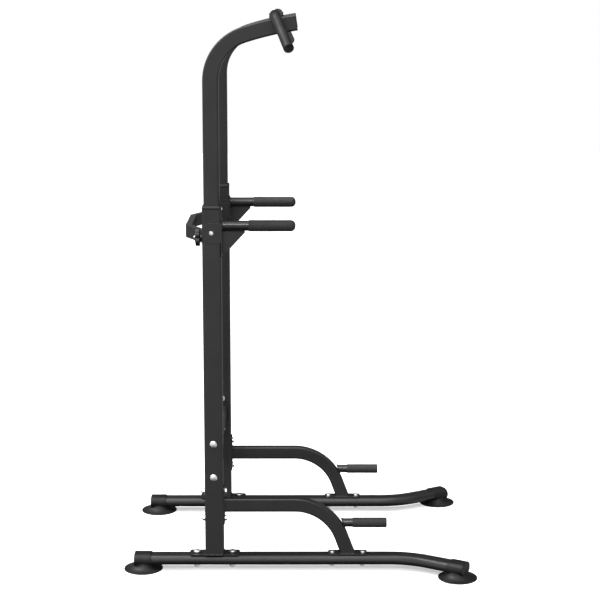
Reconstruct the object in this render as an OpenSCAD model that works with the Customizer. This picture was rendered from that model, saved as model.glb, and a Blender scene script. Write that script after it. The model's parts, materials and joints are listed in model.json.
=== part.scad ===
// Free-standing power tower: two floor rails, two telescoping uprights, dip arms,
// push-up bars and a pull-up bar. +Z is up, +X is the side the dip arms point to,
// and the origin is on the floor at the centre of the footprint.
// Left is +Y and right is -Y. Each side is drawn with +Y outward and then mirrored.

/* [Overall] */
// Distance between the centre planes of the two sides
side_spacing = 600; // [500:10:700]
// Height at which the posts start to curve forward, at the lowest setting
post_bend_z = 1599; // [1500:1:1700]
// How far the posts can be pulled out of the uprights
height_travel = 530; // [300:10:560]

/* [Tubes] */
// Outer width of the square lower uprights
upright_w = 60; // [58:1:64]
// Outer width of the square telescoping posts
post_w = 50; // [46:1:52]
// Wall of every steel tube
tube_wall = 2; // [1.5:0.5:2.5]
// Outside corner radius of the square tubes
tube_corner_r = 6; // [4:0.5:8]
// Width of the flat-oval floor rails
rail_w = 60; // [54:1:66]
// Height of the flat-oval floor rails
rail_h = 34; // [30:1:38]
// In-plane depth of the arch brace tube
arch_w = 45; // [40:1:50]
// Sideways width of the arch brace tube
arch_t = 30; // [25:1:35]
// Diameter of the pull-up bar
bar_d = 32; // [28:1:34]
// Diameter of the dip arm tubes
dip_d = 32; // [28:1:34]
// Diameter of the push-up bar tubes
push_d = 28; // [25:1:30]

/* [Floor rails and feet] */
// X of the uprights' centre line
upright_x = -278; // [-320:1:-240]
// Distance of each foot's centre ahead of or behind the origin
foot_x = 514; // [500:1:560]
// Diameter of the suction-cup feet
foot_d = 128; // [110:1:140]
// Height of the rails' underside above the floor
rail_bottom = 18; // [16:1:24]
// X at which the front rails start to turn outward
rail_bend_x = 296; // [270:1:305]
// Angle by which the front rails turn outward
rail_splay = 30; // [20:1:35]
// X of the seam between the rear and front rails
rail_seam_x = -199; // [-205:1:-190]

/* [Arch braces and push-up bars] */
// Height of the arch brace's level run
arch_z = 220; // [205:1:240]
// X at which the brace's sloping leg meets the rail
arch_foot_x = 159; // [140:1:170]
// Lean of the leg from the vertical
arch_lean = 20.7; // [15:0.1:25]
// Centreline radius of the brace's bend
arch_bend_r = 165; // [120:1:170]
// Height of the push-up bars
push_z = 157.5; // [150:0.5:170]
// X of the free end of the push-up grips
push_end_x = 287; // [260:1:300]

/* [Dip arms and clamps] */
// Height of the dip arms
dip_z = 1142; // [1120:1:1150]
// X of the free end of the dip grips
dip_end_x = -12; // [-60:1:0]
// Height of the clamp knobs
knob_z = 1105; // [1100:1:1112]
// Outer diameter of the clamp knobs
knob_d = 56; // [46:1:60]
// Height of the top of the lower uprights
upright_top = 1196; // [1190:1:1210]

/* [Pull-up bar] */
// Height of the bar's straight centre line
bar_z = 1802; // [1801:1:1804]
// X of the bar's straight centre line
bar_x = -74; // [-78:1:-70]
// Distance of each free end from the centre plane
bar_half = 500; // [480:5:520]

/* [Hidden] */
$fn = 64;
CORNER_STEPS = 6;
ROUND_STEPS = 12;
side_y = side_spacing / 2;
rail_z = rail_bottom + rail_h / 2;
rail_top = rail_bottom + rail_h;
plate_t = 4;
plate_top = rail_top + plate_t;
M10_R = 5;
M10_HOLE = 5.2;
M8_R = 4;
M8_HOLE = 4.2;
HEX_AF = 17;
NUT_H = 8;
WASHER_T = 2;
HAIR_GAP = 0.01;
half_up = upright_w / 2;
upright_inner = upright_w - 2 * tube_wall;
rear_face_x = upright_x - half_up;
front_face_x = upright_x + half_up;

// feet and rail ends
rail_over = 25;
sleeve_wall = 3;
sleeve_back = 28;
sleeve_end = 4;
bell_top = 32;
bell_neck_r = 30;
bell_rim_h = 3.5;
cup_r = foot_d / 2 - 4;
cup_h = 8;
rail_bend_r = 250;
splay_run = (foot_x - rail_bend_x - rail_bend_r * sin(rail_splay)) / cos(rail_splay);
inner_sleeve_gap = 0.4;
inner_sleeve_from = rail_seam_x - 90;
inner_sleeve_to = rail_seam_x + 90;

// uprights and lower cross member
base_plate_l = 164;
base_plate_w = 50;
base_bolt_dx = 58;
saddle_washer_r = 15.5;
saddle_washer_t = 3;
dome_d = 24;
dome_h = 6;
cross_z = 375;
cross_bolt_dz = 56;
cross_h = 50;
cross_t = 30;
cross_flange_h = 152;

// telescoping posts
post_overlap = 166;
post_bottom = upright_top - post_overlap - height_travel;
post_fit = 0.3;
post_bend_r = 151;
post_bend_turn = 72.5;
post_ease_turn = 9;
post_ease_r = 1050;
ease_from = 180 - post_bend_turn;
ease_to = ease_from - post_ease_turn;
post_c1 = [upright_x + post_bend_r, post_bend_z];
post_c2 = post_c1 + (post_bend_r - post_ease_r) * [cos(ease_from), sin(ease_from)];
post_end = post_c2 + post_ease_r * [cos(ease_to), sin(ease_to)];
cap_t = 4;
cap_plug = 24;
bush_h = 40;
collar_high = upright_top + 11;
collar_over = 1;
liner_low = upright_top - 30;

// arch braces and push-up bars
arch_turn = 90 - arch_lean;
arch_corner_x = arch_foot_x - (arch_z - plate_top) * tan(arch_lean);
arch_tangent = arch_bend_r * tan(arch_turn / 2);
arch_bend_x = arch_corner_x - arch_tangent;
arch_flange_h = 126;
arch_flange_w = 48;
arch_bolt_dz = 46;
arch_foot_l = 128;
arch_foot_w = 44;
arch_foot_dx = 50;
push_grip_l = 112;
grip_wall = 2.4;

// dip arms, rear crossbar and clamps
dip_bolt_z = 1122;
bracket_r = 32;
bracket_t = 3;
bracket_low = 1046;
bracket_high = 1161;
gusset_l = 72;
gusset_low = 1053;
gusset_t = 4;
dip_grip_l = 149;
dip_grip_wall = 2.2;
dip_nose_r = 15.5;
crossbar_z = 1100;
crossbar_h = 40;
crossbar_t = 20;
crossbar_wall = 1.5;
crossbar_back = -364;
crossbar_half = 125;
crossbar_bend_r = 34;
crossbar_plate_t = 3;
crossbar_end = [upright_x - 19, side_y - half_up - bracket_t - crossbar_plate_t];
crossbar_angle = atan2(crossbar_end.x - crossbar_back, crossbar_end.y - crossbar_half);
crossbar_tangent = crossbar_bend_r * tan(crossbar_angle / 2);
boss_t = 6.5;
boss_r = 12;
screw_r = 5;
screw_fit = 0.05;
pad_len = 5.7;
knob_gap = 1.5;
knob_t = 16;
LOBES = 6;

// pull-up bar
bar_bend_y = 342;
bar_end_drop = 95;
bar_end_ahead = 42;
bar_swing = atan(bar_end_ahead / bar_end_drop);
bar_fall = norm([bar_end_ahead, bar_end_drop]);
bar_turn = atan(bar_fall / (bar_half - bar_bend_y));
bar_bend_r = 55;
bar_tangent = bar_bend_r * tan(bar_turn / 2);
bar_end_l = norm([bar_fall, bar_half - bar_bend_y]) - bar_tangent;
bar_plug_t = 3;
bar_plug_in = 18;
saddle_l = 38;
saddle_w = 46;
saddle_wall = 2;
saddle_shoulder = 1809;
saddle_fit = 0.05;
saddle_screw_lean = 37;

SIDE_NODES = ["rear_rail", "front_rail", "rail_sleeve", "rear_foot", "front_foot", "upright",
    "collar", "arch_brace", "push_up_bar", "push_up_grip", "dip_arm", "dip_grip",
    "clamp_boss", "clamp_pad", "clamp_knob", "knob_insert", "post", "post_cap",
    "post_bush", "bar_saddle", "bar_plug"];

// ---- outlines ----

// Rounded rectangle, counter-clockwise
function rounded_box(w, h, r) = [
    for (q = [0:3]) for (i = [0:CORNER_STEPS])
        let (a = 90 * q + 90 * i / CORNER_STEPS,
             cx = (q == 0 || q == 3 ? 1 : -1) * (w / 2 - r),
             cy = (q < 2 ? 1 : -1) * (h / 2 - r))
        [cx + r * cos(a), cy + r * sin(a)]];

// Flat oval: two half circles joined by straight sides
function flat_oval(w, h) = [
    for (s = [1, -1]) for (i = [0:ROUND_STEPS])
        let (a = -90 + 180 * i / ROUND_STEPS)
        s * [(w - h) / 2 + h / 2 * cos(a), h / 2 * sin(a)]];

// Half section of a low dome, for rotate_extrude
function dome_profile(r, h) = concat([[0, 0], [r, 0]],
    [for (i = [0:8]) let (a = 90 * i / 8) [r * cos(a), 1 + (h - 1) * sin(a)]]);

module box_tube(w, h, r) {
    difference() {
        polygon(rounded_box(w, h, r));
        polygon(rounded_box(w - 2 * tube_wall, h - 2 * tube_wall, r - tube_wall));
    }
}

module oval_tube(w, h, wall) {
    difference() {
        polygon(flat_oval(w, h));
        polygon(flat_oval(w - 2 * wall, h - 2 * wall));
    }
}

// ---- placing ----

// Draws its children on one side, with +Y outward: 1 is left, -1 is right
module on_side(s) {
    translate([0, s * side_y, 0]) mirror([0, s < 0 ? 1 : 0, 0]) children();
}

module both_sides() {
    for (s = [-1, 1]) on_side(s) children();
}

// Extrudes a section (its x sideways, its y up) from x0 to x1
module along_x(x0, x1) {
    translate([x0, 0, 0]) rotate([90, 0, 90]) linear_extrude(x1 - x0) children();
}

// Cylinder along +X
module rod_x(x0, x1, r) {
    translate([x0, 0, 0]) rotate([0, 90, 0]) cylinder(h = x1 - x0, r = r);
}

// Cylinder along +Y
module rod_y(y0, y1, r) {
    translate([0, y0, 0]) rotate([-90, 0, 0]) cylinder(h = y1 - y0, r = r);
}

// Sweeps a section around a centre in the XZ plane, from angle a0 over da
module sweep_xz(c, r, a0, da) {
    translate([c.x, 0, c.y]) rotate([90, 0, 0]) rotate([0, 0, a0])
        rotate_extrude(angle = da, $fn = 96) translate([r, 0]) children();
}

// The same from the -X side of the centre, over the top by da
module sweep_from_rear(c, r, da) {
    translate([c.x, 0, c.y]) rotate([-90, 0, 180])
        rotate_extrude(angle = -da, $fn = 96) translate([r, 0]) children();
}

module at_front_foot() {
    translate([rail_bend_x, rail_bend_r, 0]) rotate([0, 0, rail_splay])
        translate([splay_run, -rail_bend_r, 0]) children();
}

module at_rear_foot() {
    translate([-foot_x, 0, 0]) rotate([0, 0, 180]) children();
}

// ---- fasteners, drawn with the head or nut seated at z = 0 and pointing up ----

module dome_bolt(head_d, head_h, shank_r, length) {
    rotate_extrude() polygon(dome_profile(head_d / 2, head_h));
    translate([0, 0, -length]) cylinder(h = length + 0.5, r = shank_r);
}

module hex_bolt(af, head_h, shank_r, length) {
    cylinder(h = head_h, d = af / cos(30), $fn = 6);
    translate([0, 0, -length]) cylinder(h = length + 0.5, r = shank_r);
}

// Washer with a hex nut on it
module nut_and_washer(af, h, shank_r) {
    difference() {
        union() {
            cylinder(h = WASHER_T, r = af * 0.62);
            translate([0, 0, WASHER_T - 0.2]) cylinder(h = h, d = af / cos(30), $fn = 6);
        }
        translate([0, 0, -1]) cylinder(h = h + 4, r = shank_r + 0.05);
    }
}

// ---- floor rails ----

module rail_holes(xs, r) {
    for (x = xs) translate([x, 0, 0]) cylinder(h = rail_top + 30, r = r);
}

module base_bolt_holes() {
    rail_holes([upright_x - base_bolt_dx, upright_x + base_bolt_dx], M10_HOLE);
}

module rear_rail() {
    color("#2b2b2c") difference() {
        translate([0, 0, rail_z]) along_x(-foot_x - rail_over, rail_seam_x)
            oval_tube(rail_w, rail_h, tube_wall);
        base_bolt_holes();
    }
}

module front_rail() {
    color("#2b2b2c") difference() {
        translate([0, 0, rail_z]) {
            along_x(rail_seam_x, rail_bend_x) oval_tube(rail_w, rail_h, tube_wall);
            translate([rail_bend_x, rail_bend_r, 0]) {
                rotate([0, 0, -90]) rotate_extrude(angle = rail_splay, $fn = 96)
                    translate([rail_bend_r, 0]) oval_tube(rail_w, rail_h, tube_wall);
                rotate([0, 0, rail_splay]) translate([0, -rail_bend_r, 0])
                    along_x(0, splay_run + rail_over) oval_tube(rail_w, rail_h, tube_wall);
            }
        }
        rail_holes([arch_foot_x - arch_foot_dx, arch_foot_x + arch_foot_dx], M8_HOLE);
    }
}

// Short tube inside the rails that carries the seam
module rail_sleeve() {
    shrink = 2 * (tube_wall + inner_sleeve_gap);
    color("#3a3a3b") difference() {
        translate([0, 0, rail_z]) along_x(inner_sleeve_from, inner_sleeve_to)
            oval_tube(rail_w - shrink, rail_h - shrink, tube_wall);
        base_bolt_holes();
    }
}

// Outer bell of the foot, from the rim up to the neck
function bell_profile() = concat([[0, 0], [foot_d / 2, 0]],
    [for (i = [0:10]) let (a = 9 * i)
        [bell_neck_r + (foot_d / 2 - bell_neck_r) * (1 - sin(a)),
         bell_rim_h + (bell_top - bell_rim_h) * (1 - cos(a))]],
    [[0, bell_top]]);

function cup_profile() = concat([[0, -1], [cup_r, -1]],
    [for (i = [0:8]) let (a = 90 * i / 8) [cup_r * cos(a), cup_h * sin(a)]]);

// Suction-cup foot with a closed sleeve over the rail's end
module foot() {
    color("#333334") difference() {
        union() {
            rotate_extrude($fn = 96) polygon(bell_profile());
            translate([0, 0, rail_z]) along_x(-sleeve_back, rail_over + sleeve_end)
                polygon(flat_oval(rail_w + 2 * sleeve_wall, rail_h + 2 * sleeve_wall));
        }
        translate([0, 0, rail_z]) along_x(-sleeve_back - 10, rail_over)
            polygon(flat_oval(rail_w + 0.2, rail_h + 0.2));
        rotate_extrude($fn = 96) polygon(cup_profile());
    }
}

module rear_foot() {
    at_rear_foot() foot();
}

module front_foot() {
    at_front_foot() foot();
}

// ---- uprights ----

module upright() {
    color("#2b2b2c") difference() {
        union() {
            translate([upright_x, 0, rail_top]) linear_extrude(plate_t)
                polygon(rounded_box(base_plate_l, base_plate_w, 8));
            translate([upright_x, 0, plate_top]) linear_extrude(upright_top - plate_top)
                box_tube(upright_w, upright_w, tube_corner_r);
        }
        base_bolt_holes();
        for (dz = [-arch_bolt_dz, arch_bolt_dz])
            translate([0, 0, arch_z + dz]) rod_x(rear_face_x - 5, front_face_x + 5, M10_HOLE);
        for (dz = [-cross_bolt_dz, cross_bolt_dz])
            translate([upright_x, 0, cross_z + dz]) rod_y(-half_up - 5, half_up + 5, M10_HOLE);
        translate([upright_x, 0, dip_bolt_z]) rod_y(-half_up - 5, half_up + 5, M8_HOLE);
        translate([0, 0, knob_z]) rod_x(rear_face_x - 5, upright_x, screw_r + 0.5);
    }
}

// Rim on top of the upright, with a liner inside the tube
module collar() {
    outer = upright_w + collar_over;
    bore = post_w + 2 * post_fit;
    rim_h = collar_high - upright_top;
    color("#1d1d1e") translate([upright_x, 0, 0]) difference() {
        union() {
            hull() for (level = [[0, 2.5], [0.25, 0.4], [0.5, 0], [0.75, 0.4], [1, 2.5]])
                translate([0, 0, upright_top + level[0] * (rim_h - 0.5)]) linear_extrude(0.5)
                    polygon(rounded_box(outer - level[1], outer - level[1], tube_corner_r));
            translate([0, 0, liner_low]) linear_extrude(upright_top + 1 - liner_low)
                polygon(rounded_box(upright_inner - 0.2, upright_inner - 0.2, tube_corner_r - 2.1));
        }
        translate([0, 0, liner_low - 1]) linear_extrude(collar_high - liner_low + 2)
            polygon(rounded_box(bore, bore, tube_corner_r + post_fit));
    }
}

// Low tube between the uprights with a tall flange at each end
module lower_crossmember() {
    inner = side_y - half_up;
    color("#2b2b2c") translate([upright_x, 0, cross_z]) difference() {
        union() {
            rotate([-90, 0, 0]) translate([0, 0, -inner + plate_t]) linear_extrude(2 * (inner - plate_t))
                box_tube(cross_t, cross_h, 4);
            for (s = [-1, 1]) translate([0, s * (inner - plate_t / 2), 0]) rotate([90, 0, 0])
                linear_extrude(plate_t, center = true)
                    polygon(rounded_box(upright_w - 12, cross_flange_h, 8));
        }
        for (dz = [-cross_bolt_dz, cross_bolt_dz])
            translate([0, 0, dz]) rod_y(-inner - 5, inner + 5, M10_HOLE);
    }
}

// ---- arch braces and push-up bars ----

// Leg of the arch as a plain block, used to cut what butts against it
module arch_leg_block() {
    translate([arch_foot_x, 0, plate_top]) rotate([0, -arch_lean, 0])
        translate([-arch_w / 2, -arch_t, -40]) cube([arch_w, 2 * arch_t, 300]);
}

// The leg is kept a hair off the bend, so that the two stay separate closed solids
module arch_brace() {
    leg_l = (arch_z - plate_top) / cos(arch_lean) - arch_tangent;
    color("#2b2b2c") difference() {
        union() {
            translate([0, 0, arch_z]) along_x(front_face_x + plate_t, arch_bend_x)
                box_tube(arch_t, arch_w, tube_corner_r);
            translate([arch_bend_x, 0, arch_z - arch_bend_r]) {
                rotate([-90, 0, 0]) rotate([0, 0, -90])
                    rotate_extrude(angle = arch_turn, $fn = 96) translate([arch_bend_r, 0])
                        box_tube(arch_w, arch_t, tube_corner_r);
                difference() {
                    rotate([0, arch_turn, 0]) translate([0, 0, arch_bend_r])
                        along_x(HAIR_GAP, leg_l + 20) box_tube(arch_t, arch_w, tube_corner_r);
                    translate([0, -50, arch_bend_r - arch_z + plate_top - 60]) cube([400, 100, 60]);
                }
            }
            translate([0, 0, arch_z]) along_x(front_face_x, front_face_x + plate_t)
                polygon(rounded_box(arch_flange_w, arch_flange_h, 8));
            translate([arch_foot_x, 0, rail_top]) linear_extrude(plate_t)
                polygon(rounded_box(arch_foot_l, arch_foot_w, 10));
        }
        for (dz = [-arch_bolt_dz, arch_bolt_dz])
            translate([0, 0, arch_z + dz]) rod_x(front_face_x - 5, front_face_x + 9, M10_HOLE);
        rail_holes([arch_foot_x - arch_foot_dx, arch_foot_x + arch_foot_dx], M8_HOLE);
    }
}

module push_up_bar() {
    leg_x = arch_foot_x - (push_z - plate_top) * tan(arch_lean);
    color("#2b2b2c") translate([0, 0, push_z]) difference() {
        rod_x(leg_x, push_end_x - grip_wall - 1, push_d / 2);
        rod_x(leg_x - 1, push_end_x, push_d / 2 - tube_wall);
        translate([0, 0, -push_z]) arch_leg_block();
    }
}

module push_up_grip() {
    start = push_end_x - push_grip_l;
    color("#232324") translate([0, 0, push_z]) difference() {
        rod_x(start, push_end_x, push_d / 2 + grip_wall);
        rod_x(start - 1, push_end_x - grip_wall - 1, push_d / 2 + 0.05);
    }
}

// ---- dip arms ----

module bracket_plate(y0) {
    translate([0, y0, 0]) {
        translate([upright_x, 0, dip_bolt_z]) rod_y(0, bracket_t, bracket_r);
        translate([upright_x, 0, dip_bolt_z - bracket_r])
            cube([half_up + bracket_t, bracket_t, 2 * bracket_r]);
    }
}

module dip_arm() {
    face = front_face_x + bracket_t;
    color("#2b2b2c") difference() {
        union() {
            translate([0, 0, dip_z]) rod_x(face - 1, dip_end_x - 10, dip_d / 2);
            translate([front_face_x, -half_up - bracket_t, bracket_low])
                cube([bracket_t, upright_w + 2 * bracket_t, bracket_high - bracket_low]);
            for (y0 = [half_up, -half_up - bracket_t]) bracket_plate(y0);
            translate([face, gusset_t / 2, dip_z]) rotate([90, 0, 0]) linear_extrude(gusset_t)
                polygon([[-0.5, 0], [gusset_l, 0], [gusset_l, -dip_d / 2 - 6],
                    [10, gusset_low - dip_z], [-0.5, gusset_low - dip_z]]);
        }
        translate([0, 0, dip_z]) rod_x(face, dip_end_x, dip_d / 2 - tube_wall);
        translate([upright_x, 0, dip_bolt_z])
            rod_y(-half_up - 10, half_up + 10, M8_HOLE);
    }
}

// Sleeve with a rounded closed end
module dip_grip() {
    r = dip_d / 2 + dip_grip_wall;
    color("#232324") translate([dip_end_x - dip_grip_l, 0, dip_z]) rotate([0, 90, 0]) difference() {
        rotate_extrude() polygon(concat([[0, 0], [r, 0]],
            [for (i = [0:8]) let (a = 90 * i / 8)
                [r - dip_nose_r + dip_nose_r * cos(a), dip_grip_l - dip_nose_r + dip_nose_r * sin(a)]],
            [[0, dip_grip_l]]));
        translate([0, 0, -1]) cylinder(h = dip_grip_l - 9, r = dip_d / 2 + 0.05);
    }
}

// ---- rear crossbar ----

// Edge of the crossbar's outward half, at a distance d behind its centre line
function crossbar_edge(d) = concat(
    [for (i = [0:6]) let (a = crossbar_angle * i / 6)
        [crossbar_back + crossbar_bend_r - (crossbar_bend_r + d) * cos(a),
         crossbar_half - crossbar_tangent + (crossbar_bend_r + d) * sin(a)]],
    [[crossbar_end.x - d / cos(crossbar_angle), crossbar_end.y]]);

function reversed(points) = [for (i = [len(points) - 1:-1:0]) points[i]];

function other_half(points) = [for (p = reversed(points)) [p.x, -p.y]];

// Plan view of the crossbar, t to each side of its centre line
module crossbar_strip(t) {
    polygon(concat(other_half(crossbar_edge(t)), crossbar_edge(t),
        reversed(crossbar_edge(-t)), reversed(other_half(crossbar_edge(-t)))));
}

module rear_crossbar() {
    end_y = crossbar_end.y;
    color("#2b2b2c") difference() {
        union() {
            translate([0, 0, crossbar_z - crossbar_h / 2]) difference() {
                linear_extrude(crossbar_h) crossbar_strip(crossbar_t / 2);
                translate([0, 0, crossbar_wall]) linear_extrude(crossbar_h - 2 * crossbar_wall)
                    crossbar_strip(crossbar_t / 2 - crossbar_wall);
            }
            for (s = [-1, 1])
                translate([upright_x, s * (end_y + crossbar_plate_t / 2), crossbar_z + 11])
                    rotate([90, 0, 0]) linear_extrude(crossbar_plate_t, center = true)
                        polygon(rounded_box(upright_w, 62, 12));
        }
        translate([upright_x, 0, dip_bolt_z]) rod_y(-side_y, side_y, M8_HOLE);
    }
}

// ---- clamps: all drawn along -X from the upright's rear face ----

module at_clamp() {
    translate([rear_face_x, 0, knob_z]) rotate([0, -90, 0]) children();
}

module clamp_boss() {
    color("#2b2b2c") at_clamp() difference() {
        cylinder(h = boss_t, r = boss_r);
        translate([0, 0, -1]) cylinder(h = boss_t + 2, r = screw_r + screw_fit);
    }
}

// Tip that bears on the post without turning
module clamp_pad() {
    color("#8a7a4a") at_clamp() translate([0, 0, -pad_len + 1]) cylinder(h = pad_len, r = 4);
}

module clamp_knob() {
    lobe_r = knob_d * 0.16;
    color("#1d1d1e") at_clamp() {
        translate([0, 0, 1]) cylinder(h = boss_t + knob_gap, r = screw_r);
        translate([0, 0, boss_t + knob_gap]) difference() {
            union() {
                cylinder(h = knob_t, r = knob_d / 2 - lobe_r);
                for (i = [0:LOBES - 1]) rotate([0, 0, i * 360 / LOBES])
                    translate([knob_d / 2 - lobe_r, 0, 0]) cylinder(h = knob_t - 2, r = lobe_r);
            }
            translate([0, 0, knob_t - 4]) cylinder(h = 5, r = 8.5);
        }
    }
}

// Plated hub in the knob's face
module knob_insert() {
    color("#c9cdd1") at_clamp() translate([0, 0, boss_t + knob_gap + knob_t - 4])
        rotate_extrude() polygon(dome_profile(8, 7));
}

// ---- telescoping posts ----

module post() {
    color("#2b2b2c") difference() {
        union() {
            translate([upright_x, 0, post_bottom]) linear_extrude(post_bend_z - post_bottom)
                box_tube(post_w, post_w, tube_corner_r);
            sweep_from_rear(post_c1, post_bend_r, post_bend_turn)
                box_tube(post_w, post_w, tube_corner_r);
            sweep_xz(post_c2, post_ease_r, ease_to, post_ease_turn)
                box_tube(post_w, post_w, tube_corner_r);
        }
        translate([bar_x, 0, bar_z]) rod_y(-post_w, post_w, bar_d / 2 + saddle_fit);
    }
}

module post_cap() {
    inner = post_w - 2 * tube_wall - 1;
    color("#1d1d1e") translate([post_end.x, 0, post_end.y]) rotate([0, 90 - ease_to, 0]) {
        along_x(HAIR_GAP, cap_t) polygon(rounded_box(post_w, post_w, tube_corner_r));
        along_x(-cap_plug, 0.5) polygon(rounded_box(inner, inner, tube_corner_r - 2.5));
    }
}

module post_bush() {
    outer = upright_inner - 2 * post_fit;
    color("#1d1d1e") translate([upright_x, 0, 0]) difference() {
        translate([0, 0, post_bottom - 3]) linear_extrude(bush_h + 3)
            polygon(rounded_box(outer, outer, tube_corner_r - 2.3));
        translate([0, 0, post_bottom]) linear_extrude(bush_h + 1)
            polygon(rounded_box(post_w + 0.1, post_w + 0.1, tube_corner_r + 0.05));
        translate([0, 0, post_bottom - 4]) cylinder(h = 6, r = 18);
    }
}

// ---- pull-up bar ----

// Local frame of the bar: Y along it, and its ends turn down and forward
module at_bar() {
    translate([bar_x, 0, bar_z]) rotate([0, -bar_swing, 0]) children();
}

module bar_half_run(r) {
    bend_from = bar_bend_y - bar_tangent;
    rod_y(0, bend_from, r);
    translate([0, bend_from, -bar_bend_r]) rotate([0, -90, 0])
        rotate_extrude(angle = bar_turn, $fn = 96) translate([bar_bend_r, 0]) circle(r = r);
    at_bar_end() rod_y(-bar_end_l, 0, r);
}

// At the free end of the outward half, Y along the tube
module at_bar_end() {
    translate([0, bar_half, -bar_fall]) rotate([-bar_turn, 0, 0]) children();
}

module bar_solid(r) {
    for (m = [0, 1]) mirror([0, m, 0]) bar_half_run(r);
}

module pull_up_bar() {
    color("#2b2b2c") difference() {
        at_bar() bar_solid(bar_d / 2);
        at_bar() bar_solid(bar_d / 2 - tube_wall);
        at_bar() for (m = [0, 1]) mirror([0, m, 0]) at_bar_end() rod_y(-1, 20, bar_d);
        for (s = [-1, 1]) translate([0, s * side_y, 0]) at_saddle_screw()
            translate([0, 0, -12]) cylinder(h = 20, r = 2.6);
    }
}

// Plug in the bar's open end, drawn on the outward side
module bar_plug() {
    color("#1d1d1e") translate([0, -side_y, 0]) at_bar() at_bar_end() {
        rod_y(-1, bar_plug_t, bar_d / 2);
        rod_y(-bar_plug_in, 0, bar_d / 2 - tube_wall - 0.1);
    }
}

// Strap that holds the bar down in the post's notch
module bar_saddle() {
    color("#2b2b2c") difference() {
        union() {
            translate([bar_x - saddle_l / 2, -saddle_w / 2, bar_z - 15])
                cube([saddle_l, saddle_w, saddle_shoulder - bar_z + 15]);
            translate([bar_x, 0, bar_z])
                rod_y(-saddle_w / 2, saddle_w / 2, bar_d / 2 + saddle_wall);
        }
        translate([bar_x, 0, bar_z]) rod_y(-saddle_w, saddle_w, bar_d / 2 + saddle_fit);
        translate([0, -post_w, 0]) post_top_block();
        at_saddle_screw() translate([0, 0, -10]) cylinder(h = 20, r = 2.6);
    }
}

// Everything under the post's top face near the bar
module post_top_block() {
    outer_r = post_ease_r + post_w / 2;
    translate([post_c2.x, 0, post_c2.y]) rotate([-90, 0, 0])
        cylinder(h = 2 * post_w, r = outer_r, $fn = 360);
}

module at_saddle_screw() {
    translate([bar_x, 0, bar_z]) rotate([0, -saddle_screw_lean, 0])
        translate([0, 0, bar_d / 2 + saddle_wall]) children();
}

// ---- groups of fasteners ----

module base_bolts() {
    color("#c9cdd1") both_sides() for (dx = [-base_bolt_dx, base_bolt_dx])
        translate([upright_x + dx, 0, plate_top + saddle_washer_t])
            dome_bolt(dome_d, dome_h, M10_R, rail_top - rail_bottom + plate_t + saddle_washer_t + 12);
}

module base_washers() {
    color("#2b2b2c") both_sides() for (dx = [-base_bolt_dx, base_bolt_dx])
        translate([upright_x + dx, 0, plate_top]) difference() {
            rotate_extrude() polygon([[0, 0], [saddle_washer_r, 0], [saddle_washer_r, 1.5],
                [saddle_washer_r - 4, saddle_washer_t], [0, saddle_washer_t]]);
            translate([0, 0, -1]) cylinder(h = 10, r = M10_HOLE);
        }
}

module base_nuts() {
    color("#c9cdd1") both_sides() for (dx = [-base_bolt_dx, base_bolt_dx])
        translate([upright_x + dx, 0, rail_bottom]) rotate([180, 0, 0])
            nut_and_washer(HEX_AF, NUT_H, M10_R);
}

module flange_bolts() {
    through = upright_w + plate_t + 14;
    color("#c9cdd1") both_sides() for (dz = [-arch_bolt_dz, arch_bolt_dz])
        translate([front_face_x + plate_t, 0, arch_z + dz]) rotate([0, 90, 0])
            hex_bolt(HEX_AF, 7, M10_R, through);
}

module flange_nuts() {
    color("#c9cdd1") both_sides() for (dz = [-arch_bolt_dz, arch_bolt_dz])
        translate([rear_face_x, 0, arch_z + dz]) rotate([0, -90, 0])
            nut_and_washer(HEX_AF, NUT_H, M10_R);
}

module brace_bolts() {
    through = rail_h + plate_t + 10;
    color("#c9cdd1") both_sides() for (dx = [-arch_foot_dx, arch_foot_dx])
        translate([arch_foot_x + dx, 0, plate_top]) dome_bolt(18, 6, M8_R, through);
}

module brace_nuts() {
    color("#c9cdd1") both_sides() for (dx = [-arch_foot_dx, arch_foot_dx])
        translate([arch_foot_x + dx, 0, rail_bottom]) rotate([180, 0, 0])
            nut_and_washer(13, 6.5, M8_R);
}

module crossmember_bolts() {
    through = upright_w + plate_t + 14;
    color("#c9cdd1") both_sides() for (dz = [-cross_bolt_dz, cross_bolt_dz])
        translate([upright_x, half_up, cross_z + dz]) rotate([-90, 0, 0])
            dome_bolt(dome_d, dome_h, M10_R, through);
}

module crossmember_nuts() {
    color("#c9cdd1") both_sides() for (dz = [-cross_bolt_dz, cross_bolt_dz])
        translate([upright_x, -half_up - plate_t, cross_z + dz]) rotate([90, 0, 0])
            nut_and_washer(HEX_AF, NUT_H, M10_R);
}

// Short bolts into the uprights' walls, which stay clear of the posts
module dip_bolts() {
    color("#c9cdd1") both_sides() {
        translate([upright_x, half_up + bracket_t, dip_bolt_z]) rotate([-90, 0, 0])
            hex_bolt(13, 5.5, M8_R, bracket_t + tube_wall + 0.5);
        translate([upright_x, -half_up - bracket_t - 3, dip_bolt_z]) rotate([90, 0, 0])
            hex_bolt(13, 5.5, M8_R, bracket_t + tube_wall + 3.5);
    }
}

module saddle_screws() {
    color("#c9cdd1") both_sides() at_saddle_screw() dome_bolt(10, 3.5, 2.5, 5);
}

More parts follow.
